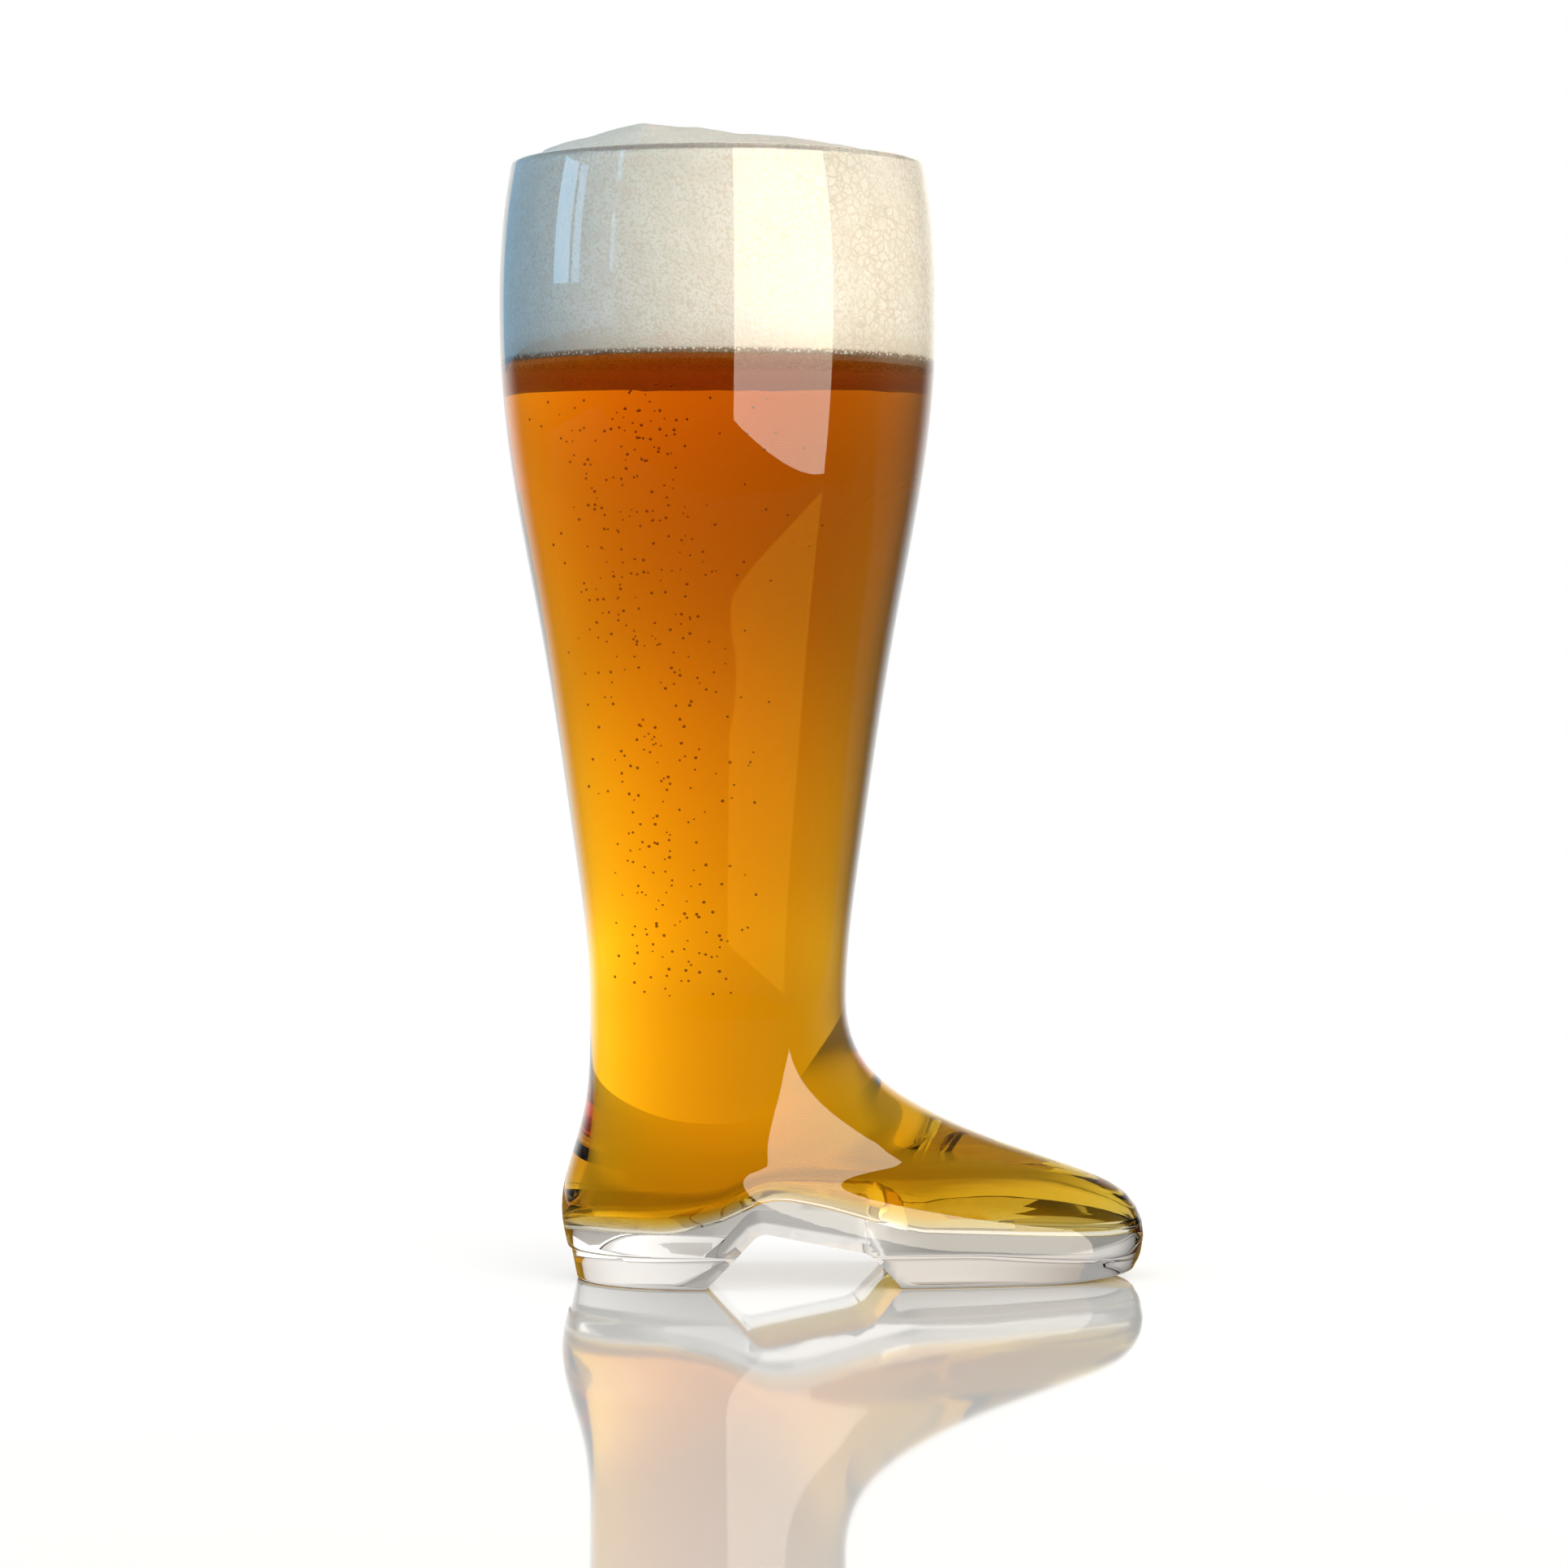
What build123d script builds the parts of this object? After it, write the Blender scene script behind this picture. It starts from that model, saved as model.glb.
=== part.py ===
from build123d import *
import os
from math import cos, pi, sin

# A boot-shaped beer glass, full, standing on a table. X points to the toe and Z points up.
# The boot is drawn about the axis of its round leg, in millimetres, with the table at height 0.
# Heights are stacked: each rise is measured from the station below it.

# Stations up the front of the boot, from the toe to the rim
toe_tip_height = 11.0
toe_cap_rise = 6.2
toe_box_rise = 7.0
vamp_rise = 8.2
instep_rise = 7.7
bend_rise = 11.9
ankle_rise = 13.0
shin_rise = 35.0
calf_rise = 51.0
shoulder_rise = 41.0
belly_rise = 40.0
rim_rise = 28.0

# Round leg
ankle_radius = 30.0
shin_radius = 33.4
calf_radius = 41.3
shoulder_radius = 48.6
belly_radius = 51.0
rim_radius = 48.1
rim_flare = 0.2

# Steps forward from the ankle to the toe, and the tuck of the toe under its tip
bend_run = 3.3
instep_run = 13.6
vamp_run = 16.5
toe_box_run = 23.1
toe_cap_run = 11.1
toe_tip_run = 2.1
toe_tuck = 2.4

# Heel, and the width of the foot
heel_height = 15.5
heel_reach = 36.5
heel_tuck = 3.5
counter_rise = 22.5
counter_reach = 31.6
foot_half_width = 30.2
foot_flare = 0.3
waist_rise = 26.5
waist_half_width = 29.3
sole_bluntness = 1.6
vamp_bluntness = -0.8
blunt_height = 6.0
dome_rise = 22.0

# Glass: the wall, and the floor above the table or above the arch
wall = 3.3
rim_crown = 1.2
rim_margin = 0.1
heel_floor = 12.5
arch_floor = 7.4
ball_floor = 12.3
toe_floor = 9.0
floor_corner_radius = 10.0

# Sole: a step where the halves of the mould met, drafted sides and a lifted toe
ledge_height = 7.6
ledge_step = 0.7
ledge_dip = 3.0
ledge_dip_run = 40.0
sole_draft = 2.3
sole_edge_radius = 1.0
toe_spring_run = 26.0
toe_spring = 2.6

# Arch between the heel and the fore-sole, open from side to side
arch_heel_end = -4.5
arch_heel_run = 12.5
arch_height = 13.3
arch_roof_run = 25.5
arch_roof_drop = 5.0
arch_ball_run = 7.5
arch_corner_radius = 2.0

# Drink
foam_depth = 46.7
foam_gap = 0.4
crown_rise = 9.5
crown_lean = 18.0

# Drawing aids: how far cuts run past the glass, and how finely the forms are drawn
past = 6.0
outline_steps = 14
levels = 64
crown_steps = 6
edge_steps = 4
natural_speed = (1, 1)

# Stations from the table and from the leg's axis
toe_cap_height = toe_tip_height + toe_cap_rise
toe_box_height = toe_cap_height + toe_box_rise
vamp_height = toe_box_height + vamp_rise
instep_height = vamp_height + instep_rise
bend_height = instep_height + bend_rise
ankle_height = bend_height + ankle_rise
shin_height = ankle_height + shin_rise
calf_height = shin_height + calf_rise
shoulder_height = calf_height + shoulder_rise
belly_height = shoulder_height + belly_rise
rim_height = belly_height + rim_rise
bend_reach = ankle_radius + bend_run
instep_reach = bend_reach + instep_run
vamp_reach = instep_reach + vamp_run
toe_box_reach = vamp_reach + toe_box_run
toe_cap_reach = toe_box_reach + toe_cap_run
toe_tip_reach = toe_cap_reach + toe_tip_run
beer_level = rim_height - foam_depth


def guide(tuck, *foot):
    """A line down the boot, as reach from the leg's axis against height, tucked in at the table."""
    ankle = (ankle_radius, ankle_height)
    last_reach, last_height = foot[-1]
    leg_line = Spline(
        (rim_radius, rim_height),
        (belly_radius, belly_height),
        (shoulder_radius, shoulder_height),
        (calf_radius, calf_height),
        (shin_radius, shin_height),
        ankle,
        tangents=[(rim_flare, -1), (0, -1)],
        tangent_scalars=natural_speed,
    )
    foot_line = Spline(
        ankle,
        *foot,
        (last_reach - tuck, 0),
        tangents=[(0, -1), (-tuck, -last_height)],
        tangent_scalars=natural_speed,
    )
    return Wire([leg_line, foot_line])


def inset(line, depth):
    """The same line moved into the glass, and carried on above the rim."""
    points = [line @ 0 - (line % 0) * past]
    for step in range(levels + 1):
        along = line % (step / levels)
        points.append(line @ (step / levels) + Vector(along.Y, -along.X) * depth)
    points[0] += points[1] - line @ 0
    return Wire([Spline(*points)])


def reach(line, height):
    """Distance from the leg's axis at which a line crosses a height."""
    above = 0.0
    below = 1.0
    for _ in range(26):
        middle = (above + below) / 2
        if (line @ middle).Y > height:
            above = middle
        else:
            below = middle
    return (line @ below).X


def outline(height, toe, heel, half_width):
    """Closed plan outline at a height: round on the leg, pointed over the vamp and blunt at the sole."""
    share = min(1, max(0, (height - blunt_height) / dome_rise))
    bluntness = sole_bluntness + (vamp_bluntness - sole_bluntness) * share**2 * (3 - 2 * share)
    points = []
    for step in range(outline_steps + 1):
        angle = pi * step / outline_steps
        end = toe if angle < pi / 2 else heel
        power = 2 + bluntness * max(0, 1 - half_width / end)
        spread = (abs(cos(angle)) ** power + sin(angle) ** power) ** (1 / power)
        points.append((end * cos(angle) / spread, half_width * sin(angle) / spread))
    near = Spline(*points, tangents=[(0, 1), (0, -1)], tangent_scalars=natural_speed)
    return Pos(0, 0, height) * make_face([near, mirror(near, about=Plane.XZ)])


def shell(front, back, side):
    """Smooth solid through plan outlines that are evenly spaced along the front line."""
    heights = [(front @ (step / levels)).Y for step in range(levels + 1)]
    return loft([outline(z, reach(front, z), reach(back, z), reach(side, z)) for z in heights])


def slab(profile):
    """A side-view profile drawn right across the boot."""
    return extrude(Plane.XZ * profile, amount=belly_radius + past, both=True)


def block(low, high):
    """Everything between two heights."""
    width = 2 * (toe_tip_reach + past)
    return Pos(0, 0, (low + high) / 2) * Box(width, width, high - low)


# Lines of the outside and of the hollow
front = guide(
    toe_tuck,
    (bend_reach, bend_height),
    (instep_reach, instep_height),
    (vamp_reach, vamp_height),
    (toe_box_reach, toe_box_height),
    (toe_cap_reach, toe_cap_height),
    (toe_tip_reach, toe_tip_height),
)
back = guide(heel_tuck, (counter_reach, heel_height + counter_rise), (heel_reach, heel_height))
side = guide(-foot_flare, (waist_half_width, heel_height + waist_rise), (foot_half_width, heel_height))
inner_front = inset(front, wall)
inner_back = inset(back, wall)
inner_side = inset(side, wall)

# Upper: the leg and foot, down to the ledge, which dips towards the toe
upper = shell(front, back, side)
ledge_bend = toe_tip_reach - ledge_dip_run
ledge_line = Polyline(
    (-heel_reach - past, -past),
    (-heel_reach - past, ledge_height),
    (ledge_bend, ledge_height),
    (toe_tip_reach, ledge_height - ledge_dip),
    (toe_tip_reach + past, ledge_height - ledge_dip),
    (toe_tip_reach + past, -past),
    close=True,
)
upper -= slab(make_face(ledge_line))

# Sole: steps in under the ledge, drafts in towards the table and rounds off at the tread
ledge_reaches = [reach(line, ledge_height) - ledge_step for line in (front, back, side)]
sole_lean = (sole_draft - sole_edge_radius) / (ledge_height - sole_edge_radius)
sole_top = ledge_height + wall / 2
sole_outlines = [outline(sole_top, *[distance + sole_lean * wall / 2 for distance in ledge_reaches])]
for step in range(edge_steps + 1):
    turn = pi / 2 * step / edge_steps
    pulled_in = sole_draft - sole_edge_radius * cos(turn)
    height = sole_edge_radius * (1 - sin(turn))
    sole_outlines.append(outline(height, *[distance - pulled_in for distance in ledge_reaches]))
sole = loft(sole_outlines, ruled=True)

# Toe spring: the tread curves up towards the toe
spring_start = toe_tip_reach - toe_spring_run
spring_line = TangentArc((spring_start, 0), (toe_tip_reach, toe_spring), tangent=(1, 0))
spring_end = spring_line @ 1 + (spring_line % 1) * past
spring_face = make_face(
    [
        spring_line,
        Polyline(spring_line @ 1, spring_end, (spring_end.X, -past), (spring_start, -past), (spring_start, 0)),
    ]
)

# Arch, with both slopes carried on below the table
arch_peak = arch_heel_end + arch_heel_run
arch_roof_end = arch_peak + arch_roof_run
arch_roof_height = arch_height - arch_roof_drop
arch_ball_end = arch_roof_end + arch_ball_run
arch_face = make_face(
    Polyline(
        (arch_heel_end - arch_heel_run * past / arch_height, -past),
        (arch_peak, arch_height),
        (arch_roof_end, arch_roof_height),
        (arch_ball_end + arch_ball_run * past / arch_roof_height, -past),
        close=True,
    )
)
arch_face = fillet(arch_face.vertices(), arch_corner_radius)

# Hollow: the inner lines, down to a floor that humps over the arch
floor_line = FilletPolyline(
    (-heel_reach - past, heel_floor),
    (arch_heel_end, heel_floor),
    (arch_peak, arch_height + arch_floor),
    (arch_roof_end - arch_ball_run, arch_height + arch_floor - arch_roof_drop),
    (arch_ball_end, ball_floor),
    (toe_tip_reach, toe_floor),
    radius=floor_corner_radius,
)
floor_face = make_face(
    [
        floor_line,
        Polyline(floor_line @ 1, (toe_tip_reach, -past), (-heel_reach - past, -past), floor_line @ 0),
    ]
)
hollow = shell(inner_front, inner_back, inner_side)
hollow -= slab(floor_face)

# Rounded rim: all that stands above a ring of round section is cut away
rim_outer = reach(side, rim_height - rim_crown)
rim_inner = reach(inner_side, rim_height - rim_crown)
rim_middle = (rim_outer + rim_inner) / 2
rim_half = (rim_outer - rim_inner) / 2 + rim_margin
rim_bend = (rim_half**2 + rim_crown**2) / (2 * rim_crown)
rim_ring = Pos(rim_middle, rim_height - rim_bend) * Circle(rim_bend)
rim_band = Pos(rim_middle, rim_height - rim_crown + past / 2) * Rectangle(2 * wall, past)
rim_cut = revolve(Plane.XZ * (rim_band - rim_ring), Axis.Z)
glass_boot = upper + sole - slab(spring_face) - slab(arch_face) - hollow - rim_cut

# Beer, up to its level, and the foam on it, which fills the mouth and domes up towards the heel side
beer = hollow & block(0, beer_level)
mouth_radius = reach(inner_side, rim_height)
crown_circles = []
for step in range(crown_steps):
    share = 1 - step / crown_steps
    place = Pos(-crown_lean * (1 - share), 0, rim_height + crown_rise * (1 - share**2))
    crown_circles.append(place * Circle((mouth_radius - foam_gap) * share))
foam_head = (hollow & block(beer_level, rim_height)) + loft(crown_circles)

# The origin is under the middle of the whole glass
boot_box = glass_boot.bounding_box()
middle = Pos(-boot_box.center().X, 0, 0)
os.makedirs("parts", exist_ok=True)
for name, piece in (("glass_boot", glass_boot), ("beer", beer), ("foam_head", foam_head)):
    export_step(middle * piece, f"parts/{name}.step")
    print(name, round(piece.volume / 1000), "ml")
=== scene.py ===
# %% [markdown]
# A boot-shaped beer glass, full to the rim. Its solids are already modelled at their true size: the
# glass boot, the beer in it and the foam on top. This lesson lays clean, smooth meshes over those
# solids, because glass shows every facet, and then gives them the looks of glass, beer and froth.
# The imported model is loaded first. Its nodes stay where they are and set the size of everything else.

# %% Load the frame
import math
import random

import bpy
import numpy as np
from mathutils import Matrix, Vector, noise


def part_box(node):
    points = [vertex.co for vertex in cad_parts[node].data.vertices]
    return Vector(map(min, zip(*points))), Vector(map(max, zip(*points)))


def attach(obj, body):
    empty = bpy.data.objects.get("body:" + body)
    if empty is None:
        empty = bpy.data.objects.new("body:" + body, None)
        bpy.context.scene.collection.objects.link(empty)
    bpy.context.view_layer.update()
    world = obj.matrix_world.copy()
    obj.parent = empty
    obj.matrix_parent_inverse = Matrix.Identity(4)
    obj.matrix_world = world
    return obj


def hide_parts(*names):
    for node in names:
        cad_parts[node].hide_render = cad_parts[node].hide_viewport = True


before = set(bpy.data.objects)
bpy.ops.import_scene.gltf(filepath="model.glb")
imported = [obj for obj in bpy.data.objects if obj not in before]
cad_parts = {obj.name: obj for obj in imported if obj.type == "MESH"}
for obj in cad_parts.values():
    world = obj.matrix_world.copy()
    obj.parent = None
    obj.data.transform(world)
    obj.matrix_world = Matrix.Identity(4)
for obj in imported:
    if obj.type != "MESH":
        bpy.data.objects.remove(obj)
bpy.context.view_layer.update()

boot_low, boot_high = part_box("glass_boot")
mm = 0.001
print("boot in millimetres:", [round((b - a) / mm, 1) for a, b in zip(boot_low, boot_high)])

# %% [markdown]
# The photograph was taken from a little above half the boot's height, a bit over a metre away, with the
# toe turned slightly from the camera. A long lens keeps the sides of the leg nearly parallel. The eye is
# placed first and then turned until the leg stands left of the middle of the picture, as it does there.

# %% Camera
belly_radius = 51.06
leg_axis = boot_low[0] + belly_radius * mm
eye_distance = 1.1826
eye_height = 0.1407
turn = math.radians(-3)
film_width = 36
frame_pixels = 1932
lens_pixels = 6236
leg_column = 884.5
level_row = 832
aim_right = (frame_pixels / 2 - leg_column) / lens_pixels
aim_down = (frame_pixels / 2 - level_row) / lens_pixels

camera_data = bpy.data.cameras.new("camera")
camera_data.sensor_width = film_width
camera_data.lens = film_width * lens_pixels / frame_pixels
camera_data.clip_start = 0.01
camera = bpy.data.objects.new("camera", camera_data)
bpy.context.collection.objects.link(camera)
camera.location = (leg_axis + eye_distance * math.sin(turn), -eye_distance * math.cos(turn), eye_height)
camera.rotation_euler = (math.pi / 2 - math.atan(aim_down), 0, turn - math.atan(aim_right))
bpy.context.scene.camera = camera
print("camera at", [round(v, 3) for v in camera.location])

# %% [markdown]
# The surroundings and every finish are built from nodes. By hand they are added in the node editor and
# joined with the mouse. In a script three small helpers do that: one fills an input, one sets a node and
# one adds it. The world comes first, empty but for the nodes that say where a ray flies and of what kind
# it is. Colours are shown as they are written, so the plain Standard view is chosen.

# %% Empty world
def put(value, socket):
    """Give an input its value: a number, a colour, or the output of another node."""
    if isinstance(value, bpy.types.NodeSocket):
        socket.id_data.links.new(value, socket)
    elif isinstance(value, tuple):
        socket.default_value = (*value, 1)[:4]
    else:
        socket.default_value = value


def settle(made, **values):
    """Set a node: names in small letters are its settings, others its inputs, with _ for a space."""
    for key, value in values.items():
        if key.islower():
            setattr(made, key, value)
        else:
            put(value, made.inputs[key.replace("_", " ")])
    return made


def node(tree, kind, **values):
    """Add a node of a kind and set it."""
    return settle(tree.nodes.new("ShaderNode" + kind), **values)


world = bpy.data.worlds.new("studio")
bpy.context.scene.world = world
world.use_nodes = True
sky = world.node_tree
sky.nodes.clear()
sky_out = node(sky, "OutputWorld")
rays = node(sky, "LightPath")
toward = node(sky, "TexCoord")
split = node(sky, "SeparateXYZ", Vector=toward.outputs["Generated"])
bpy.context.scene.view_settings.view_transform = "Standard"
print("world nodes so far:", len(sky.nodes))

# %% [markdown]
# Glass shows its surroundings more than itself. Behind the boot stands a bright wall that darkens
# upwards and to the left, and the side behind the camera is dim. Reflections see only the part of it
# straight behind the boot, so that no pale haze lies over the beer. Froth gets a weak even light, and
# the camera itself sees plain white. A wall of mesh would need lamps of its own, so it is made in the
# world's nodes instead, from the direction that a ray flies in.

# %% Bright wall
def ramp(source, low, high, to_low, to_high):
    """A level that runs smoothly from one value to another while its source runs from low to high."""
    made = node(source.id_data, "MapRange", interpolation_type="SMOOTHSTEP", Value=source)
    settle(made, From_Min=low, From_Max=high, To_Min=to_low, To_Max=to_high)
    return made.outputs["Result"]


def math_node(operation, first, second):
    """One sum, product or comparison of a level with another level or a number."""
    made = node(first.id_data, "Math", operation=operation)
    put(first, made.inputs[0])
    put(second, made.inputs[1])
    return made.outputs[0]


def either(factor, first, second):
    """The first level where a factor is 0, the second where it is 1."""
    made = node(factor.id_data, "Mix", data_type="FLOAT", Factor=factor, A=first, B=second)
    return made.outputs["Result"]


def joined(first, second, factor=None):
    """Two shaders added up, or mixed where a factor is given."""
    made = node(first.id_data, "AddShader" if factor is None else "MixShader")
    sockets = [x for x in made.inputs if x.type == "SHADER"]
    put(first, sockets[0])
    put(second, sockets[1])
    if factor is not None:
        put(factor, made.inputs[0])
    return made.outputs[0]


froth_light = 0.22
mirrored = ramp(split.outputs["Y"], 0.7, 0.96, 0.03, 1.3)
behind = ramp(split.outputs["Y"], -0.3, 0.3, 0.42, 1.0)
below = ramp(split.outputs["Z"], -0.08, 0.03, 0.9, 1.0)
upward = ramp(split.outputs["Z"], 0.03, 0.18, 1.0, 0.55)
leftward = ramp(split.outputs["X"], -0.95, -0.4, 0.4, 1.0)
rightward = ramp(split.outputs["X"], -0.3, 1.3, 0.78, 2.2)
shown = upward
for level in (below, rightward, behind, leftward):
    shown = math_node("MULTIPLY", shown, level)
seen_through = either(rays.outputs["Is Transmission Ray"], mirrored, shown)
wall_level = either(rays.outputs["Is Diffuse Ray"], seen_through, froth_light)
wall = node(sky, "Background", Color=(1.0, 0.985, 0.96), Strength=wall_level)
plain = node(sky, "Background", Color=(1, 1, 1))
world_look = joined(wall.outputs[0], plain.outputs[0], rays.outputs["Is Camera Ray"])
put(world_look, sky_out.inputs["Surface"])
print("world nodes:", len(sky.nodes))

# %% [markdown]
# The boot stands on a white table. Its back edge slants and runs about a forearm's length behind the
# boot, and the beer bends that edge into the curved line low in the ankle. A plain plane would do for
# most floors, but here the edge shows, so a filled circle of a few corners is added and each corner is
# pulled to its place.

# %% Table
def start():
    """Leave edit mode and let go of everything, so that an operator meets only what is meant."""
    if bpy.context.object and bpy.context.object.mode != "OBJECT":
        bpy.ops.object.mode_set(mode="OBJECT")
    bpy.ops.object.select_all(action="DESELECT")


table_edge = [(-2, 0.61), (-2, -0.62), (0.2, -0.62), (0.64, -0.47), (0.8, -0.2), (2, -0.1), (2, 0.11)]
start()
bpy.ops.mesh.primitive_circle_add(vertices=len(table_edge), radius=1, fill_type="NGON")
table = bpy.context.object
table.name = "table"
for corner, (x, y) in zip(table.data.vertices, table_edge):
    corner.co = (x, y, 0)
bpy.ops.object.mode_set(mode="EDIT")
bpy.ops.mesh.select_all(action="SELECT")
bpy.ops.mesh.normals_make_consistent(inside=False)
bpy.ops.object.mode_set(mode="OBJECT")
print("table corners:", len(table_edge), "and it faces up:", round(table.data.polygons[0].normal.z, 2))

# %% [markdown]
# The table is glossy and mirrors the boot. A little glow lifts its white for the camera, except close
# to the boot, where ambient occlusion keeps the soft shadow. Through the glass it shows as plain levels:
# bright under the boot, shaded in the strip behind the foot, where the full glass takes the light away,
# brighter again towards the back, and darker towards the left, all painted light and shade. Reflections
# in the glass see it dim, with an amber sheen. Light from lamps alone could do this too, but levels by
# place are easier to set against a photograph.

# %% Table finish
def new_material(name):
    """Material with one principled shader, its tree and that shader."""
    made = bpy.data.materials.new(name)
    made.use_nodes = True
    tree = made.node_tree
    return made, tree, tree.nodes["Principled BSDF"]


white_lift, shadow_reach = 0.2, 0.06
table_white, tree, shader = new_material("table_white")
settle(shader, Base_Color=(0.6, 0.6, 0.6), Roughness=0.04, IOR=1.5)
rays = node(tree, "LightPath")
open_air = node(tree, "AmbientOcclusion", samples=8, Distance=shadow_reach)
lift = math_node("MULTIPLY", open_air.outputs["AO"], white_lift)
glow = node(tree, "Emission", Strength=math_node("MULTIPLY", lift, rays.outputs["Is Camera Ray"]))
lifted_white = joined(shader.outputs[0], glow.outputs[0])
spot = node(tree, "TexCoord")
place = node(tree, "SeparateXYZ", Vector=spot.outputs["Object"])
shaded = ramp(place.outputs["Y"], 0.026, 0.034, 0.85, 0.36)
behind_boot = ramp(place.outputs["Y"], 0.07, 0.11, 0.0, 0.22)
far_back = ramp(place.outputs["Y"], 0.1, 0.4, 0.0, 0.22)
# Painted shade: seen through the glass, the table also darkens towards the left.
far_left = ramp(place.outputs["X"], -0.16, -0.03, 0.25, 1.0)
table_level = math_node("ADD", math_node("ADD", shaded, behind_boot), far_back)
through = node(tree, "Emission", Color=(1.0, 0.97, 0.92))
settle(through, Strength=math_node("MULTIPLY", table_level, far_left))
seen = joined(lifted_white, through.outputs[0], rays.outputs["Is Transmission Ray"])
dim = node(tree, "BsdfDiffuse", Color=(0.08, 0.08, 0.08))
sheen = node(tree, "BsdfGlossy", Color=(0.3, 0.17, 0.01), Roughness=0.03)
in_glass = joined(dim.outputs[0], sheen.outputs[0])
gleam = math_node("MULTIPLY", rays.outputs["Is Glossy Ray"], rays.outputs["Is Reflection Ray"])
put(joined(seen, in_glass, gleam), tree.nodes["Material Output"].inputs["Surface"])
table.data.materials.append(table_white)
print("table finish nodes:", len(tree.nodes))

# %% [markdown]
# Two soft lamps light the froth: a warm one to the right of the camera and cool daylight from the left.
# Seen straight through the glass a lamp would be a bright square, so its nodes put it out for a ray that
# has passed through glass and has met no froth yet. Simply hiding the lamp from such rays would also
# darken the froth behind the glass.

# %% Lamps
lamp_distance, lamp_height, aim_height = 1.7, 0.4, 0.15
warm, cool = (1.0, 0.91, 0.76), (0.28, 0.66, 1.0)


def around(angle, distance, height):
    """A place on a circle about the leg, by its angle to the right of the camera."""
    bearing = turn + math.radians(angle)
    return Vector((leg_axis + distance * math.sin(bearing), -distance * math.cos(bearing), height))


def add_lamp(name, angle, width, tall, power, colour):
    """Soft rectangular lamp that faces the leg."""
    data = bpy.data.lights.new(name, "AREA")
    data.shape = "RECTANGLE"
    data.size, data.size_y = width, tall
    data.energy = power
    data.color = colour
    data.use_nodes = True
    tree = data.node_tree
    rays = node(tree, "LightPath")
    no_froth = math_node("LESS_THAN", rays.outputs["Diffuse Depth"], 0.5)
    in_glass = math_node("GREATER_THAN", rays.outputs["Transmission Depth"], 0.5)
    lit = math_node("LESS_THAN", math_node("MULTIPLY", in_glass, no_froth), 0.5)
    put(lit, tree.nodes["Emission"].inputs["Strength"])
    lamp = bpy.data.objects.new(name, data)
    bpy.context.collection.objects.link(lamp)
    lamp.location = around(angle, lamp_distance, lamp_height)
    facing = Vector((leg_axis, 0, aim_height)) - lamp.location
    lamp.rotation_euler = facing.to_track_quat("-Z", "Y").to_euler()
    lamp.visible_glossy = False
    lamp.visible_transmission = True
    return lamp


add_lamp("window_lamp", 34, 1.6, 1.6, 60, warm)
add_lamp("daylight_lamp", -75, 1.8, 1.6, 22, cool)

# %% [markdown]
# In curved glass a window is a tall bright strip, and a studio photographer hangs bright cards to get
# it. The large card is a flat window whose lower edge sinks to the right, and the others are blue panes
# that curve round the leg. Each is a grid whose points are laid by a rule, and it shows only to rays that
# were reflected, so that it neither lights the froth nor stands in the way.

# %% Cards
sky_blue = (0.36, 0.68, 1.0)
window_angle, window_distance, window_top = 25, 0.652, 0.6
window_left, window_width = -0.198, 0.663


def add_card(name, rule, level, colour, steps=12):
    """Bright card seen only in reflections. The rule gives each point of its grid a place."""
    start()
    bpy.ops.mesh.primitive_grid_add(x_subdivisions=steps, y_subdivisions=1, size=1)
    card = bpy.context.object
    card.name = name
    for corner in card.data.vertices:
        corner.co = rule(corner.co.x + 0.5, corner.co.y + 0.5)
    finish, tree, _ = new_material(name)
    rays = node(tree, "LightPath")
    light = node(tree, "Emission", Color=colour, Strength=level)
    clear_card = node(tree, "BsdfTransparent")
    shows = joined(clear_card.outputs[0], light.outputs[0], rays.outputs["Is Reflection Ray"])
    put(shows, tree.nodes["Material Output"].inputs["Surface"])
    card.data.materials.append(finish)
    card.visible_camera = card.visible_diffuse = card.visible_transmission = False
    card.visible_shadow = False
    return card


def curved(left, right, low, high, distance=0.48):
    """Rule for a card that curves round the leg between two angles and two heights."""
    return lambda u, v: around(left + (right - left) * u, distance, low + (high - low) * v)


def window_place(u, v):
    """Rule for the tall flat window, whose lower edge sinks to the right."""
    along = window_left + window_width * u
    low = 0.051 - 0.133 * along + 0.1 * along**2
    middle = around(window_angle, window_distance, low + (window_top - low) * v)
    sideways = around(window_angle + 90, 1, 0) - around(0, 0, 0)
    return middle + sideways * along


cards = [
    add_card("window_card", window_place, 6.4, warm),
    add_card("daylight_card", curved(-147, -50.7, 0.225, 0.52, 0.5), 1.0, sky_blue),
    add_card("pane_left", curved(-90.9, -80.1, 0.271, 0.419), 6.5, sky_blue),
    add_card("pane_middle", curved(-78.1, -73.2, 0.271, 0.419), 5.5, sky_blue),
    add_card("pane_high", curved(-84, -71.3, 0.451, 0.494), 5.0, sky_blue),
    add_card("pane_edge_high", curved(-54.6, -52.1, 0.405, 0.476), 5.0, cool),
    add_card("pane_edge_low", curved(-55.1, -53.2, 0.282, 0.353), 4.0, cool),
]
print("cards:", [card.name for card in cards])

# %% [markdown]
# The boot's shape is held in three lines that run down from the rim: one over the instep to the toe, one
# down the heel and one down the side. Each is a smooth curve through a few measured points. They are
# worked out as a draughtsman's spline, so that nothing kinks where the leg turns into the foot.

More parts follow.
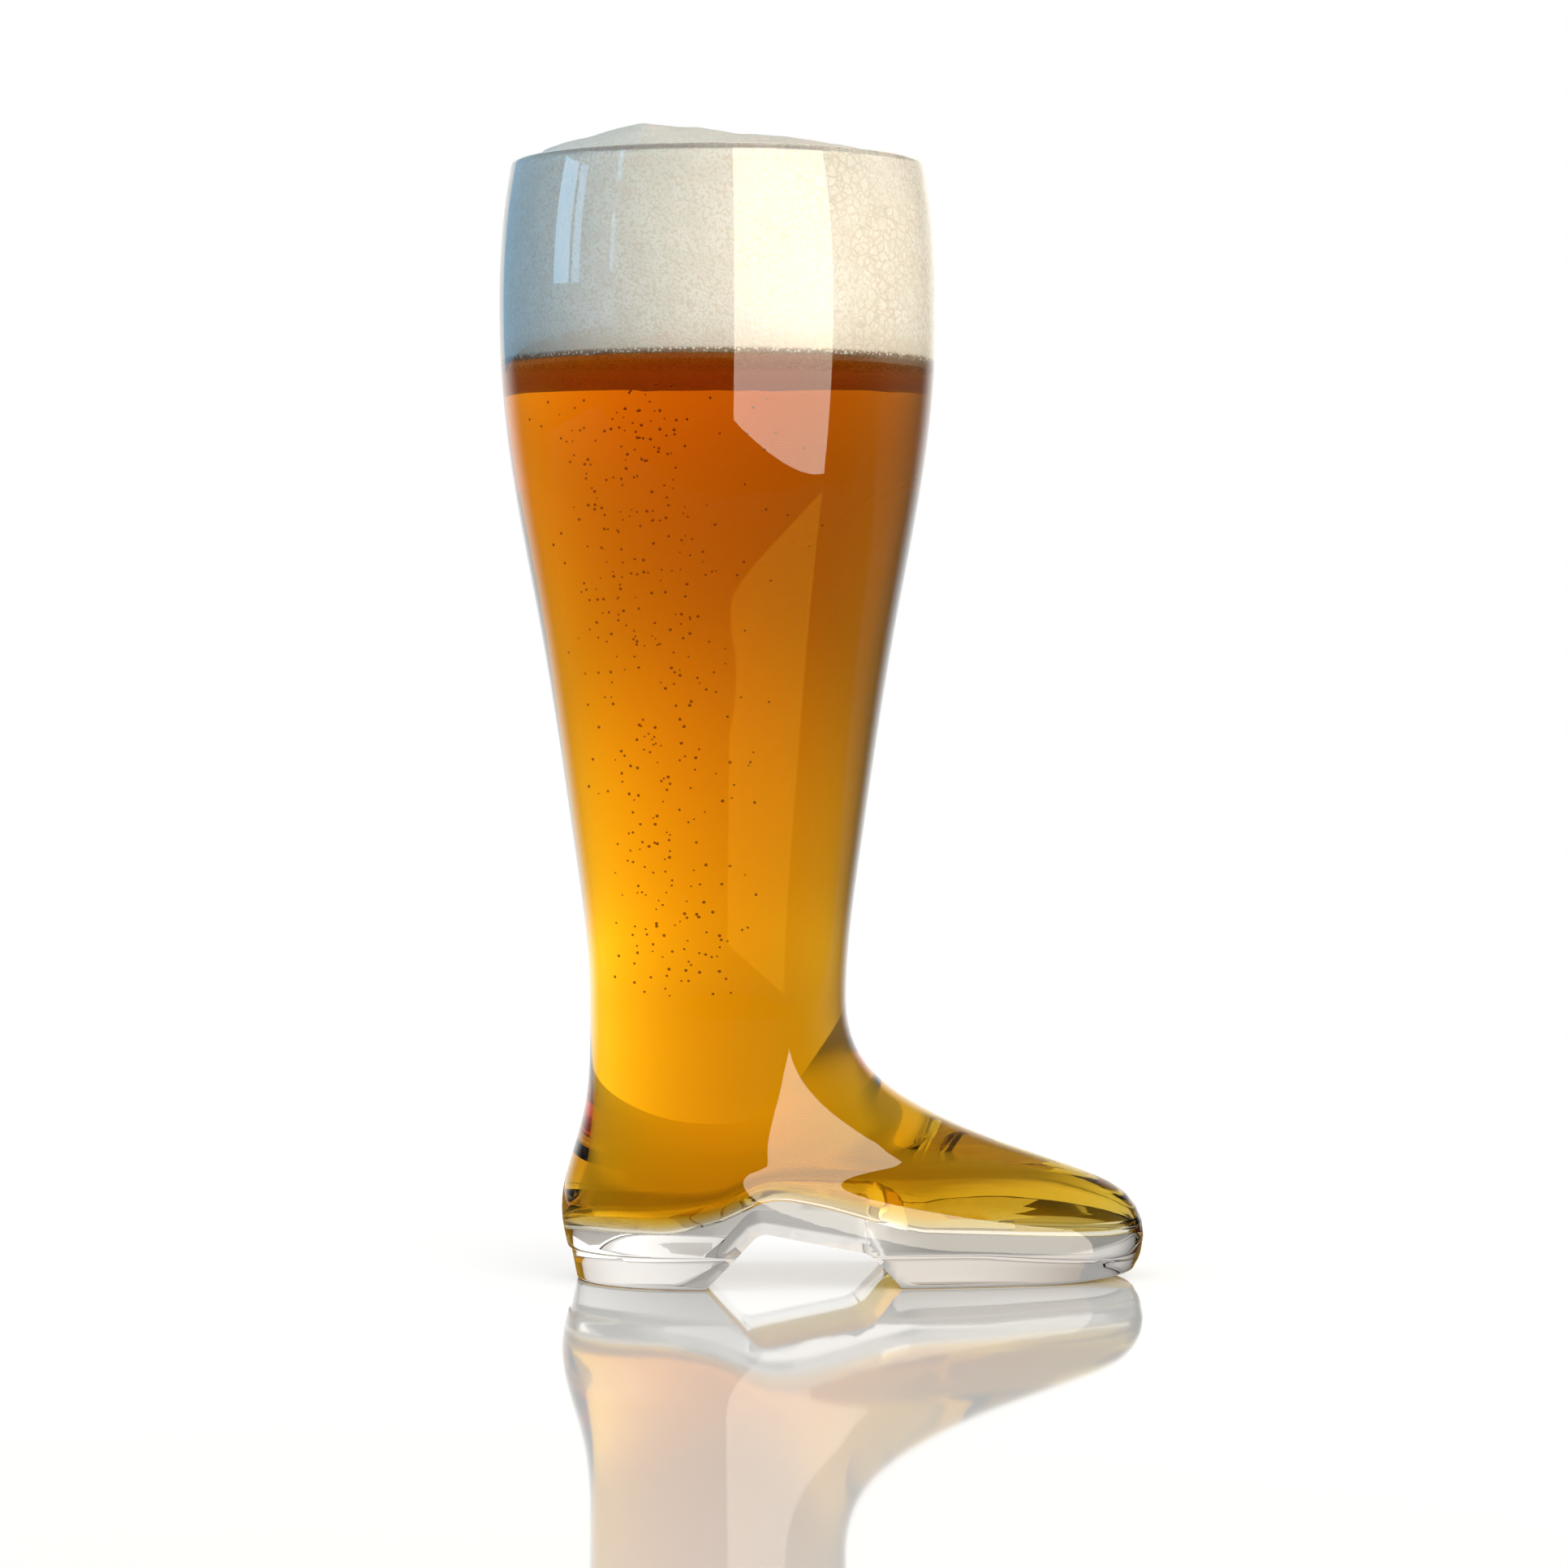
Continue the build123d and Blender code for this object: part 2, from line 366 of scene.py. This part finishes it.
# %% Lines of the boot
def spline(points, first, last, steps=40):
    """Dense smooth line through points, which leaves and arrives in the given directions."""
    p = np.array(points, float)
    gap = np.linalg.norm(np.diff(p, axis=0), axis=1)
    count = len(p)
    system, right = np.zeros((count, count)), np.zeros((count, 2))
    system[0, 0] = system[-1, -1] = 1
    right[0] = np.array(first) / np.linalg.norm(first)
    right[-1] = np.array(last) / np.linalg.norm(last)
    for i in range(1, count - 1):
        before, after = gap[i - 1], gap[i]
        system[i, i - 1 : i + 2] = after, 2 * (before + after), before
        right[i] = 3 * (after * (p[i] - p[i - 1]) / before + before * (p[i + 1] - p[i]) / after)
    speed = np.linalg.solve(system, right)
    u = np.linspace(0, 1, steps + 1)[:, None]
    dense = [p[:1]]
    for i in range(count - 1):
        run = (
            (2 * u**3 - 3 * u**2 + 1) * p[i]
            + (u**3 - 2 * u**2 + u) * gap[i] * speed[i]
            + (3 * u**2 - 2 * u**3) * p[i + 1]
            + (u**3 - u**2) * gap[i] * speed[i + 1]
        )
        dense.append(run[1:])
    return np.vstack(dense)


rim_height = 260.0
ankle = (30.0, 65.0)
leg_points = [(48.1, rim_height), (51.0, 232), (48.6, 192), (41.3, 151), (33.4, 100), ankle]
toe_reach = 99.7
toe_points = [(33.3, 52), (46.9, 40.1), (63.4, 32.4), (86.5, 24.2), (97.6, 17.2), (toe_reach, 11)]
heel_points = [(31.6, 38), (36.5, 15.5)]
side_points = [(29.3, 42), (30.2, 15.5)]
toe_tuck, heel_tuck, side_tuck = 2.4, 3.5, -0.3


def boot_line(foot, tuck):
    """Reach against height, from the rim to the table, where it is tucked in."""
    leg = spline(leg_points, (0.2, -1), (0, -1))
    under = spline([ankle, *foot, (foot[-1][0] - tuck, 0)], (0, -1), (-tuck, -foot[-1][1]))
    return np.vstack([leg, under[1:]])


def reach(line, height):
    """How far a line stands from the leg's axis at each height."""
    return np.interp(-height, -line[:, 1], line[:, 0])


outside = [
    boot_line(toe_points, toe_tuck),
    boot_line(heel_points, heel_tuck),
    boot_line(side_points, side_tuck),
]
for height in (230, 150, 50, 30, 13):
    print("reach at", height, [round(float(reach(line, height)), 2) for line in outside])

# %% [markdown]
# A ring is the plan of the boot at one height. On the leg it is a circle. In the foot its front half is
# drawn out to the toe, blunt at the sole and pointed over the instep. It could be traced point by point,
# but glass shows every dent, so a formula gives it: an oval whose power says how blunt it is.

# %% Rings
columns = 128
circle = np.linspace(0, 2 * math.pi, columns + 1)[:-1]
blunt_height, dome_rise = 6.0, 22.0
sole_bluntness, vamp_bluntness = 1.6, -0.8


def plan(z, toe, heel, half):
    """Plan points of a ring from its height and three reaches, which may differ from point to point."""
    c, s = np.cos(circle), np.sin(circle)
    end = np.where(c > 0, toe, heel)
    share = np.clip((z - blunt_height) / dome_rise, 0, 1)
    bluntness = sole_bluntness + (vamp_bluntness - sole_bluntness) * share**2 * (3 - 2 * share)
    power = 2 + bluntness * np.maximum(0, 1 - half / end)
    spread = (np.abs(c) ** power + np.abs(s) ** power) ** (1 / power)
    return end * c / spread, half * s / spread


def ring(lines, height, pulled_in=0.0):
    """Ring on three lines. The height may be a number, or a rule that gives it from the plan's x."""
    depths = np.broadcast_to(pulled_in, 3)
    rule = height if callable(height) else lambda x: np.full(columns, float(height))
    z = rule(np.zeros(columns))
    for _ in range(12):
        x, y = plan(z, *[reach(line, z) - depth for line, depth in zip(lines, depths)])
        z = rule(x)
    return np.stack([x, y, z], axis=1)


def toward_pole(row, rule, count):
    """Rings that shrink from one ring to a pole on the leg's axis, at heights given by a rule."""
    rows = []
    for share in np.linspace(1, 0, count + 1)[1:]:
        x, y = row[:, 0] * share, row[:, 1] * share
        rows.append(np.stack([x, y, rule(x)], axis=1))
    return rows


print("ring at the ball of the foot, across:", round(float(np.ptp(ring(outside, 12)[:, 1])), 1))

# %% [markdown]
# The glass is one moulded piece, and its skin starts in the middle of the tread. It climbs over the
# tread's rounded edge and up the drafted sole to the ledge where the halves of the mould met. The tread
# lifts towards the toe and the ledge dips to meet it. The ledge steps in at the heel and the toe and
# fades along the sides, where it hardly shows.

# %% Sole rings
ledge_height, ledge_dip, ledge_dip_run = 7.6, 3.0, 40.0
ledge_steps = np.array([0.7, 0.7, 0.1])
sole_draft, tread_radius = 2.3, 1.0
toe_lift_run, toe_lift = 26.0, 2.6
lift_width = (toe_lift_run**2 + toe_lift**2) / toe_lift


def ledge(x):
    """The ledge dips towards the toe."""
    return ledge_height - ledge_dip * np.clip((x - (toe_reach - ledge_dip_run)) / ledge_dip_run, 0, 1.1)


def tread(x):
    """The tread lifts towards the toe, on a round arc."""
    return np.clip(x - (toe_reach - toe_lift_run), 0, None) ** 2 / lift_width


sole_reaches = [float(reach(line, ledge_height)) - step for line, step in zip(outside, ledge_steps)]
sole_lean = (sole_draft - tread_radius) / (ledge_height - tread_radius)


def sole_ring(height, pulled_in):
    """Ring of the sole, squeezed between the lifted tread and the ledge."""
    x, y = plan(height, *[distance - pulled_in for distance in sole_reaches])
    low, high = tread(x), ledge(x)
    return np.stack([x, y, low + (high - low) * height / ledge_height], axis=1)


tread_rows = []
for angle in np.linspace(0, math.pi / 2, 5):
    height = tread_radius * (1 - math.cos(angle))
    tread_rows.append(sole_ring(height, sole_draft - tread_radius * math.sin(angle)))
rows = toward_pole(tread_rows[0], tread, 10)[::-1] + tread_rows
for height in np.linspace(tread_radius, ledge_height - 0.25, 6)[1:]:
    rows.append(sole_ring(height, (ledge_height - height) * sole_lean))
print("rings up to the ledge:", len(rows))

# %% [markdown]
# From the ledge the skin goes up over the foot and the leg and rolls over the rounded rim. The instep is
# nearly flat, so evenly spaced heights would leave it with few rings. They are spaced along the instep's
# line instead. Just above the ledge the rings still follow it, and higher up they are level.

# %% Leg and rim rings
rim_crown = 1.2
upper_top = rim_height - rim_crown
upper_low = 18.0
past_rim = 8


def heights_along(line, high, low, count):
    """Heights that are evenly spaced along a line, so that the flat instep gets its share of rings."""
    part = line[(line[:, 1] <= high) & (line[:, 1] >= low)]
    walked = np.concatenate([[0], np.cumsum(np.linalg.norm(np.diff(part, axis=0), axis=1))])
    return np.interp(np.linspace(0, walked[-1], count), walked, part[:, 1])


def inset(line, depth):
    """The same line moved into the glass by a depth, and carried on a little above the rim."""
    along = np.gradient(line, axis=0)
    along /= np.linalg.norm(along, axis=1)[:, None]
    moved = line + depth * np.stack([along[:, 1], -along[:, 0]], axis=1)
    return np.vstack([moved[0] - past_rim * along[0], moved])


def lifted(rule, low, top):
    """Make a ladder of heights stand on a rule: unchanged at the top, on the rule at the bottom."""
    def rung(height):
        if height >= top:
            return height
        return lambda x: rule(x) + (top - rule(x)) * (height - low) / (top - low)
    return rung


on_ledge = lifted(ledge, ledge_height, upper_low)
rows.append(ring(outside, ledge, ledge_steps * 0.6))
rows.append(ring(outside, ledge, ledge_steps * 0.3))
rows.append(ring(outside, on_ledge(ledge_height + 0.07), ledge_steps * 0.1))
rows.append(ring(outside, on_ledge(ledge_height + 0.3)))
for height in heights_along(outside[0], upper_top, ledge_height + 1.0, 110)[::-1]:
    rows.append(ring(outside, on_ledge(height)))

wall_depth = 3.3
inside = [inset(line, wall_depth) for line in outside]
rim_outer = float(reach(outside[2], upper_top))
rim_inner = float(reach(inside[2], upper_top))
rim_middle, rim_half = (rim_outer + rim_inner) / 2, (rim_outer - rim_inner) / 2
for angle in np.linspace(0, math.pi, 12)[1:-1]:
    radius = rim_middle + rim_half * math.cos(angle)
    height = np.full(columns, upper_top + rim_crown * math.sin(angle))
    rows.append(np.stack([radius * np.cos(circle), radius * np.sin(circle), height], axis=1))
print("rings up to the rim:", len(rows))

# %% [markdown]
# Inside, the skin comes down a wall of even thickness to a floor that humps over the arch, with a
# rounded corner between the two. Its last rings shrink to a pole in the middle of the floor. The beer
# fills the same hollow, so one function makes the rings of both.

# %% Inside rings
floor_x = [-60, -12, -1, 9, 14, 24, 34, 44, 60, 110]
floor_z = [12.5, 12.5, 15.3, 19.9, 20.1, 17.9, 15.0, 12.3, 11.4, 8.2]
floor_low, floor_top, floor_round = 12.0, 40.0, 3.5
beer_level = 213.3


def rounded_line(xs, zs):
    """Rounded line through a few corners, by averaging the straight one."""
    fine = np.linspace(xs[0], xs[-1], 800)
    straight = np.interp(fine, xs, zs)
    window = np.hanning(41)
    padded = np.concatenate([np.full(20, straight[0]), straight, np.full(20, straight[-1])])
    rounded = np.convolve(padded, window / window.sum(), "valid")
    return lambda x: np.interp(x, fine, rounded)


def hollow_rows(lines, rule, top, count):
    """Rings from a height down the wall of the hollow, round its corner and over its floor to a pole."""
    def corner(x):
        return rule(x) + floor_round
    on_floor = lifted(corner, floor_low + floor_round, floor_top)
    made = [ring(lines, on_floor(h)) for h in heights_along(lines[0], top, floor_low + floor_round, count)]
    made[-1] = ring(lines, corner)
    for angle in np.linspace(0, math.pi / 2, 7)[1:]:
        bottom = ring(lines, corner, floor_round * (1 - math.cos(angle)))
        bottom[:, 2] = rule(bottom[:, 0]) + floor_round * (1 - math.sin(angle))
        made.append(bottom)
    return made + toward_pole(made[-1], rule, 22)


glass_floor = rounded_line(floor_x, floor_z)
inner_rows = hollow_rows(inside, glass_floor, upper_top, 110)
wet_from = len(rows) + sum(bool(row[:, 2].min() > beer_level) for row in inner_rows)
rows += inner_rows
print("rings in all:", len(rows), "and beer wets them from", wet_from)

# %% [markdown]
# A stack of rings becomes a skin. A flat grid is added, each of its rows is laid on a ring, and in edit
# mode the seam and the two poles are merged and the faces turned outwards. Bridging one loop after
# another would give the same faces, but one grid is quicker and keeps count of the rows. Those that beer
# wets get a second finish by that count.

# %% Glass skin
def skin(name, rows, second_from=None):
    """Closed mesh over a stack of rings. Rows from second_from on get a second finish."""
    start()
    bpy.ops.mesh.primitive_grid_add(x_subdivisions=columns, y_subdivisions=len(rows) - 1, size=1)
    piece = bpy.context.object
    piece.name = piece.data.name = name
    stack = np.stack([np.vstack([row, row[:1]]) for row in rows])
    stack[..., 0] += leg_axis / mm
    grid = np.empty(len(piece.data.vertices) * 3)
    piece.data.vertices.foreach_get("co", grid)
    grid = grid.reshape(-1, 3)
    column = np.rint((grid[:, 0] + 0.5) * columns).astype(int)
    row = np.rint((grid[:, 1] + 0.5) * (len(rows) - 1)).astype(int)
    piece.data.vertices.foreach_set("co", (stack[row, column] * mm).ravel())
    piece.data.update()
    if second_from is not None:
        piece.data.materials.append(None)
        piece.data.materials.append(None)
        for face in piece.data.polygons:
            face.material_index = int(min(row[i] for i in face.vertices) >= second_from)
    bpy.ops.object.mode_set(mode="EDIT")
    bpy.ops.mesh.select_all(action="SELECT")
    bpy.ops.mesh.remove_doubles(threshold=1e-6)
    bpy.ops.mesh.normals_make_consistent(inside=False)
    bpy.ops.object.mode_set(mode="OBJECT")
    return piece


glass = skin("glass_boot_clear", rows, wet_from)
print("glass skin:", len(glass.data.polygons), "faces")

# %% [markdown]
# The arch under the foot runs right through from side to side. It is cut with a bar of the same section:
# a cube whose corners are pulled to the arch's corners, with its long edges rounded, taken away by a
# boolean. A small bevel then softens the new edges, as the mould does.

# %% Arch
heel_foot, heel_top, ball_top, ball_foot = (-10.1, -6), (8.0, 13.3), (33.5, 8.3), (46.4, -6)
bar_half_length, arch_corner_radius, edge_width = 60, 2.0, 0.35
start()
bpy.ops.mesh.primitive_cube_add(size=1)
bar = bpy.context.object
bar.name = "arch_bar"
for corner in bar.data.vertices:
    foot, top = (heel_foot, heel_top) if corner.co.x < 0 else (ball_foot, ball_top)
    x, z = foot if corner.co.z < 0 else top
    corner.co = (leg_axis + x * mm, math.copysign(bar_half_length * mm, corner.co.y), z * mm)
bpy.ops.object.mode_set(mode="EDIT")
bpy.ops.mesh.select_mode(type="EDGE")
bpy.ops.mesh.select_all(action="DESELECT")
bpy.ops.object.mode_set(mode="OBJECT")
for edge in bar.data.edges:
    a, b = (bar.data.vertices[i].co for i in edge.vertices)
    edge.select = abs(a.y - b.y) > bar_half_length * mm and a.z > 0
bpy.ops.object.mode_set(mode="EDIT")
bpy.ops.mesh.bevel(offset=arch_corner_radius * mm, segments=5, affect="EDGES")
bpy.ops.mesh.select_all(action="SELECT")
bpy.ops.mesh.normals_make_consistent(inside=False)
start()
glass.select_set(True)
bpy.context.view_layer.objects.active = glass
cut = glass.modifiers.new("arch", "BOOLEAN")
cut.operation, cut.solver, cut.object = "DIFFERENCE", "EXACT", bar
bpy.ops.object.modifier_apply(modifier=cut.name)
bpy.data.objects.remove(bar)
soften = glass.modifiers.new("soft_edges", "BEVEL")
soften.width, soften.segments = edge_width * mm, 2
soften.limit_method, soften.angle_limit = "ANGLE", math.radians(32)
bpy.ops.object.modifier_apply(modifier=soften.name)
bpy.ops.object.shade_smooth_by_angle(angle=math.radians(35))
print("glass with its arch:", len(glass.data.polygons), "faces")

# %% [markdown]
# Clear glass has no colour where it is thin, and is faintly warm and grey in the thick sole. So the tint
# is a volume that takes a little light along the way, and the surface itself stays white. A tinted
# surface would colour thin and thick glass alike. Where beer wets the inside, glass and beer bend light
# nearly alike and hardly mirror, so that finish has a black specular tint.

# %% Clear glass
def clear_finish(name, ior, **values):
    """Smooth see-through material, its tree and its shader."""
    made, tree, shader = new_material(name)
    settle(shader, Base_Color=(1, 1, 1), Roughness=0.0, IOR=ior, Transmission_Weight=1.0, **values)
    return made, tree


def fill(tree, colour, density):
    """Let the inside of a material take light along the way."""
    inside = node(tree, "VolumeAbsorption", Color=colour, Density=density)
    put(inside.outputs[0], tree.nodes["Material Output"].inputs["Volume"])


glass_bend, no_mirror = 1.5, (0, 0, 0)
clear, tree = clear_finish("clear_glass", glass_bend)
fill(tree, (0.92, 0.904, 0.888), 25)
wetted, _ = clear_finish("wetted_glass", glass_bend, Specular_Tint=no_mirror)
glass.data.materials[0] = clear
glass.data.materials[1] = wetted
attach(glass, "root")
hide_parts("glass_boot")
print("glass finishes:", [finish.name for finish in glass.data.materials])

# %% [markdown]
# The beer fills the hollow to just above the foam's lower edge. Its skin lies a little inside the glass,
# so that no thin layer of air is left between the two: light then bends from glass to beer as it does in
# a full glass. Its colour comes from depth alone, as it does in beer.

# %% Beer
tuck_in, under_foam, beer_bend = 0.3, 1.5, 1.34
beer_lines = [inset(line, wall_depth - tuck_in) for line in outside]


def beer_floor(x):
    """The floor of the beer, a little below the glass floor."""
    return glass_floor(x) - tuck_in


rows = hollow_rows(beer_lines, beer_floor, beer_level + under_foam, 100)
top = rows[0]
flat = [np.stack([top[:, 0] * s, top[:, 1] * s, top[:, 2]], axis=1) for s in np.linspace(0, 1, 8)[:-1]]
beer = skin("beer_amber", flat + rows)
bpy.ops.object.shade_smooth_by_angle(angle=math.radians(35))
amber, tree = clear_finish("beer", beer_bend, Specular_Tint=no_mirror)
fill(tree, (1.0, 0.861, 0.0), 130)
beer.data.materials.append(amber)
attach(beer, "root")
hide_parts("beer")
print("beer:", len(beer.data.polygons), "faces")

# %% [markdown]
# The foam fills the mouth and domes up over the rim, highest towards the heel side. Its lower edge is
# uneven and reaches just into the beer, and its underside hangs a little on the far side. The dome is a
# stack of rings whose heights follow the outline seen in the photograph, with gentle lumps from a noise
# that is the same at each run. A cloth or fluid simulation would be slower and no better at this size.

# %% Foam
foam_tuck, foam_hang, edge_band = 0.45, 2.6, 1.5
foam_lines = [inset(line, wall_depth - foam_tuck) for line in outside]
mouth = float(reach(foam_lines[2], rim_height - edge_band))
crown_x = [-46, -44.7, -40.3, -33.9, -29.3, -25.7, -22.3, -17.9, -7.3, 2.2, 15.5, 21.5, 31.2, 39.7, 45, 46]
crown_z = [0.6, 1.6, 4.2, 4.8, 5.6, 6.7, 7.8, 8.6, 7.4, 6.2, 5.0, 4.2, 3.2, 2.5, 1.6, 0.6]


def lump(x, y, z, size):
    """Noise from -1 to 1 with lumps of about a size in millimetres."""
    return noise.noise(Vector((x, y, z)) / size)


def hang(y):
    """How far the underside hangs down on the far side."""
    share = np.clip(y / mouth, 0, 1)
    return foam_hang * share**2 * (3 - 2 * share)


rows = []
edge = ring(foam_lines, beer_level)
for k in range(columns):
    x, y, z = edge[k]
    edge[k, 2] += 0.5 * lump(x, y, z, 3.0) + 0.35 * lump(x, y, z, 1.2) - hang(y)
for share in np.linspace(0, 1, 13)[:-1]:
    x, y = edge[:, 0] * share, edge[:, 1] * share
    rows.append(np.stack([x, y, beer_level - 0.2 - hang(y)], axis=1))
rows.append(edge)
for height in np.linspace(beer_level + edge_band, rim_height - edge_band, 24):
    rows.append(ring(foam_lines, height))
for share in np.cos(np.linspace(0, math.pi / 2, 41))[1:]:
    x, y = mouth * share * np.cos(circle), mouth * share * np.sin(circle)
    half = np.sqrt(np.maximum(mouth**2 - x**2, 1e-6))
    cap = np.maximum(0, 1 - (y / half) ** 2)
    crown = np.interp(x, crown_x, crown_z) * cap * (1 - share**12)
    z = rim_height - edge_band + edge_band * (1 - share**8) + crown
    fade = min(1.0, 4 * (1 - share))
    for k in range(columns):
        z[k] += fade * (0.4 * lump(x[k], y[k], 0, 9.0) + 0.25 * lump(x[k], y[k], 5, 4.0))
    rows.append(np.stack([x, y, z], axis=1))
rows[-1][:] = rows[-1].mean(axis=0)
foam = skin("foam_head_froth", rows)
bpy.ops.object.shade_smooth()
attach(foam, "root")
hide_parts("foam_head")
print("foam:", len(foam.data.polygons), "faces")

# %% [markdown]
# Froth is a crowd of bubbles. Most are too fine to count and only grain the surface, but towards the toe
# side they have run together into clear round cells. Modelling each would take millions of faces, so two
# cell patterns make the bumps, one fine and one coarse, and a soft noise says where the coarse one shows.

# %% Foam bumps
fine_cells, coarse_cells = 1500, 430
froth, tree, shader = new_material("foam")
settle(shader, Roughness=0.45, Subsurface_Weight=0.2, Subsurface_Scale=0.003)
spot = node(tree, "TexCoord").outputs["Object"]
place = node(tree, "SeparateXYZ", Vector=spot)
fine = node(tree, "TexVoronoi", feature="F1", Vector=spot, Scale=fine_cells)
coarse = node(tree, "TexVoronoi", feature="F1", Vector=spot, Scale=coarse_cells)
patch = node(tree, "TexNoise", Vector=spot, Scale=60)
toe_side = ramp(place.outputs["X"], leg_axis - 0.02, leg_axis + 0.05, 0.0, 0.45)
showing = ramp(math_node("ADD", patch.outputs["Fac"], toe_side), 0.62, 0.95, 0.0, 1.0)
fine_dome = ramp(fine.outputs["Distance"], 0.1, 0.75, 1.0, 0.0)
coarse_dome = ramp(coarse.outputs["Distance"], 0.25, 0.6, 1.0, 0.0)
coarse_shown = math_node("MULTIPLY", coarse_dome, showing)
height = math_node("ADD", math_node("MULTIPLY", fine_dome, 0.35), coarse_shown)
bump = node(tree, "Bump", Strength=0.35, Distance=0.0006, Height=height)
settle(shader, Normal=bump.outputs[0])
print("foam nodes for its bumps:", len(tree.nodes))

# %% [markdown]
# The colour is a cream that drifts in soft clouds and is darker between the fine bubbles and along the
# walls of the coarse cells. The lowest froth is stained by the beer, and right where the two meet a row
# of tiny bubbles is painted as bright glints against painted dark shade. One flat cream would look like
# plaster.

# %% Foam colours
stain_rise = 7
# Colours of the painted glints on tiny bubbles and of the painted shade between them.
glint_white, painted_gap_shade = (0.97, 0.95, 0.9), (0.3, 0.18, 0.1)


def colour_mix(factor, first, second):
    """Blend two colours, each an output or a colour, by a factor."""
    made = node(factor.id_data, "Mix", data_type="RGBA", Factor=factor)
    put(first, made.inputs[6])
    put(second, made.inputs[7])
    return made.outputs[2]


def at_level(rise):
    """A height in metres, measured from the beer's level in millimetres."""
    return (beer_level + rise) * mm


cloud = node(tree, "TexNoise", Vector=spot, Scale=220, Detail=6)
cell_edge = node(tree, "TexVoronoi", feature="DISTANCE_TO_EDGE", Vector=spot, Scale=coarse_cells)
beads = node(tree, "TexVoronoi", feature="F1", Vector=spot, Scale=1250)
drift = ramp(cloud.outputs["Fac"], 0.3, 0.7, 0.0, 1.0)
cream = colour_mix(drift, (0.87, 0.85, 0.78), (0.93, 0.92, 0.87))
between = ramp(fine.outputs["Distance"], 0.4, 0.85, 0.0, 1.0)
grain = colour_mix(between, cream, (0.80, 0.76, 0.67))
cell_wall = ramp(cell_edge.outputs["Distance"], 0.0, 0.14, 0.6, 0.0)
walls = colour_mix(math_node("MULTIPLY", cell_wall, showing), grain, (0.68, 0.62, 0.52))
stain = ramp(place.outputs["Z"], at_level(0), at_level(stain_rise), 0.45, 0.0)
stained = colour_mix(stain, walls, (0.66, 0.55, 0.42))
# Painted highlights and painted shade: a row of tiny bubbles drawn as bright glints with dark gaps, where
# froth meets beer.
painted_glints = colour_mix(ramp(beads.outputs["Distance"], 0.25, 0.5, 0.0, 1.0), glint_white, painted_gap_shade)
above = ramp(place.outputs["Z"], at_level(0.4), at_level(1.3), 0.8, 0.0)
below = ramp(place.outputs["Z"], at_level(-1.0), at_level(-0.1), 0.0, 1.0)
contact = math_node("MULTIPLY", above, below)
settle(shader, Base_Color=colour_mix(contact, stained, painted_glints))
foam.data.materials.append(froth)
print("foam nodes in all:", len(tree.nodes))

# %% [markdown]
# Strings of gas bubbles rise through the beer, most of them on the heel side. Each is a small sphere of
# a few dozen faces whose skin bends light as gas in beer does, so it shows as a dark ring, deepened by
# a dark brown tint that is painted shade. One sphere is modelled and copied to places drawn from a seeded
# list.

# %% Rising bubbles
def bubble_cloud(name, places):
    """One mesh of small spheres at given places and radii, in millimetres from the leg's axis."""
    start()
    bpy.ops.mesh.primitive_uv_sphere_add(segments=8, ring_count=6, radius=1)
    seed = bpy.context.object
    bpy.ops.object.shade_smooth()
    copies = []
    for x, y, z, radius in places:
        copy = bpy.data.objects.new(name, seed.data.copy())
        bpy.context.collection.objects.link(copy)
        for corner in copy.data.vertices:
            corner.co = Vector((leg_axis, 0, 0)) + (Vector((x, y, z)) + corner.co * radius) * mm
        copies.append(copy)
    bpy.data.objects.remove(seed)
    start()
    for copy in copies:
        copy.select_set(True)
    bpy.context.view_layer.objects.active = copies[0]
    bpy.ops.object.join()
    made = bpy.context.object
    made.name = made.data.name = name
    return made


bubble_count, lowest, highest, clear_of_wall = 420, 64, 208, 2.0
bubble_radii = (0.2, 0.25, 0.3, 0.36)
dice = random.Random(11)
rising = []
while len(rising) < bubble_count:
    z = dice.uniform(lowest, highest)
    room = float(reach(beer_lines[2], z)) - clear_of_wall
    x, y = dice.gauss(-0.55, 0.34) * room, dice.uniform(-0.97, -0.3) * room
    if x * x + y * y < room * room and dice.uniform(0, 46) < room:
        rising.append((x, y, z, dice.choice(bubble_radii)))
bubbles = bubble_cloud("rising_bubbles", rising)
gas, tree, shader = new_material("gas_in_beer")
# The dark brown base colour is painted shade on the clear gas.
settle(shader, Base_Color=(0.4, 0.3, 0.24), Roughness=0.0, IOR=1.2, Transmission_Weight=1.0)
bubbles.data.materials.clear()
bubbles.data.materials.append(gas)
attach(bubbles, "root")
print("bubbles:", len(rising))
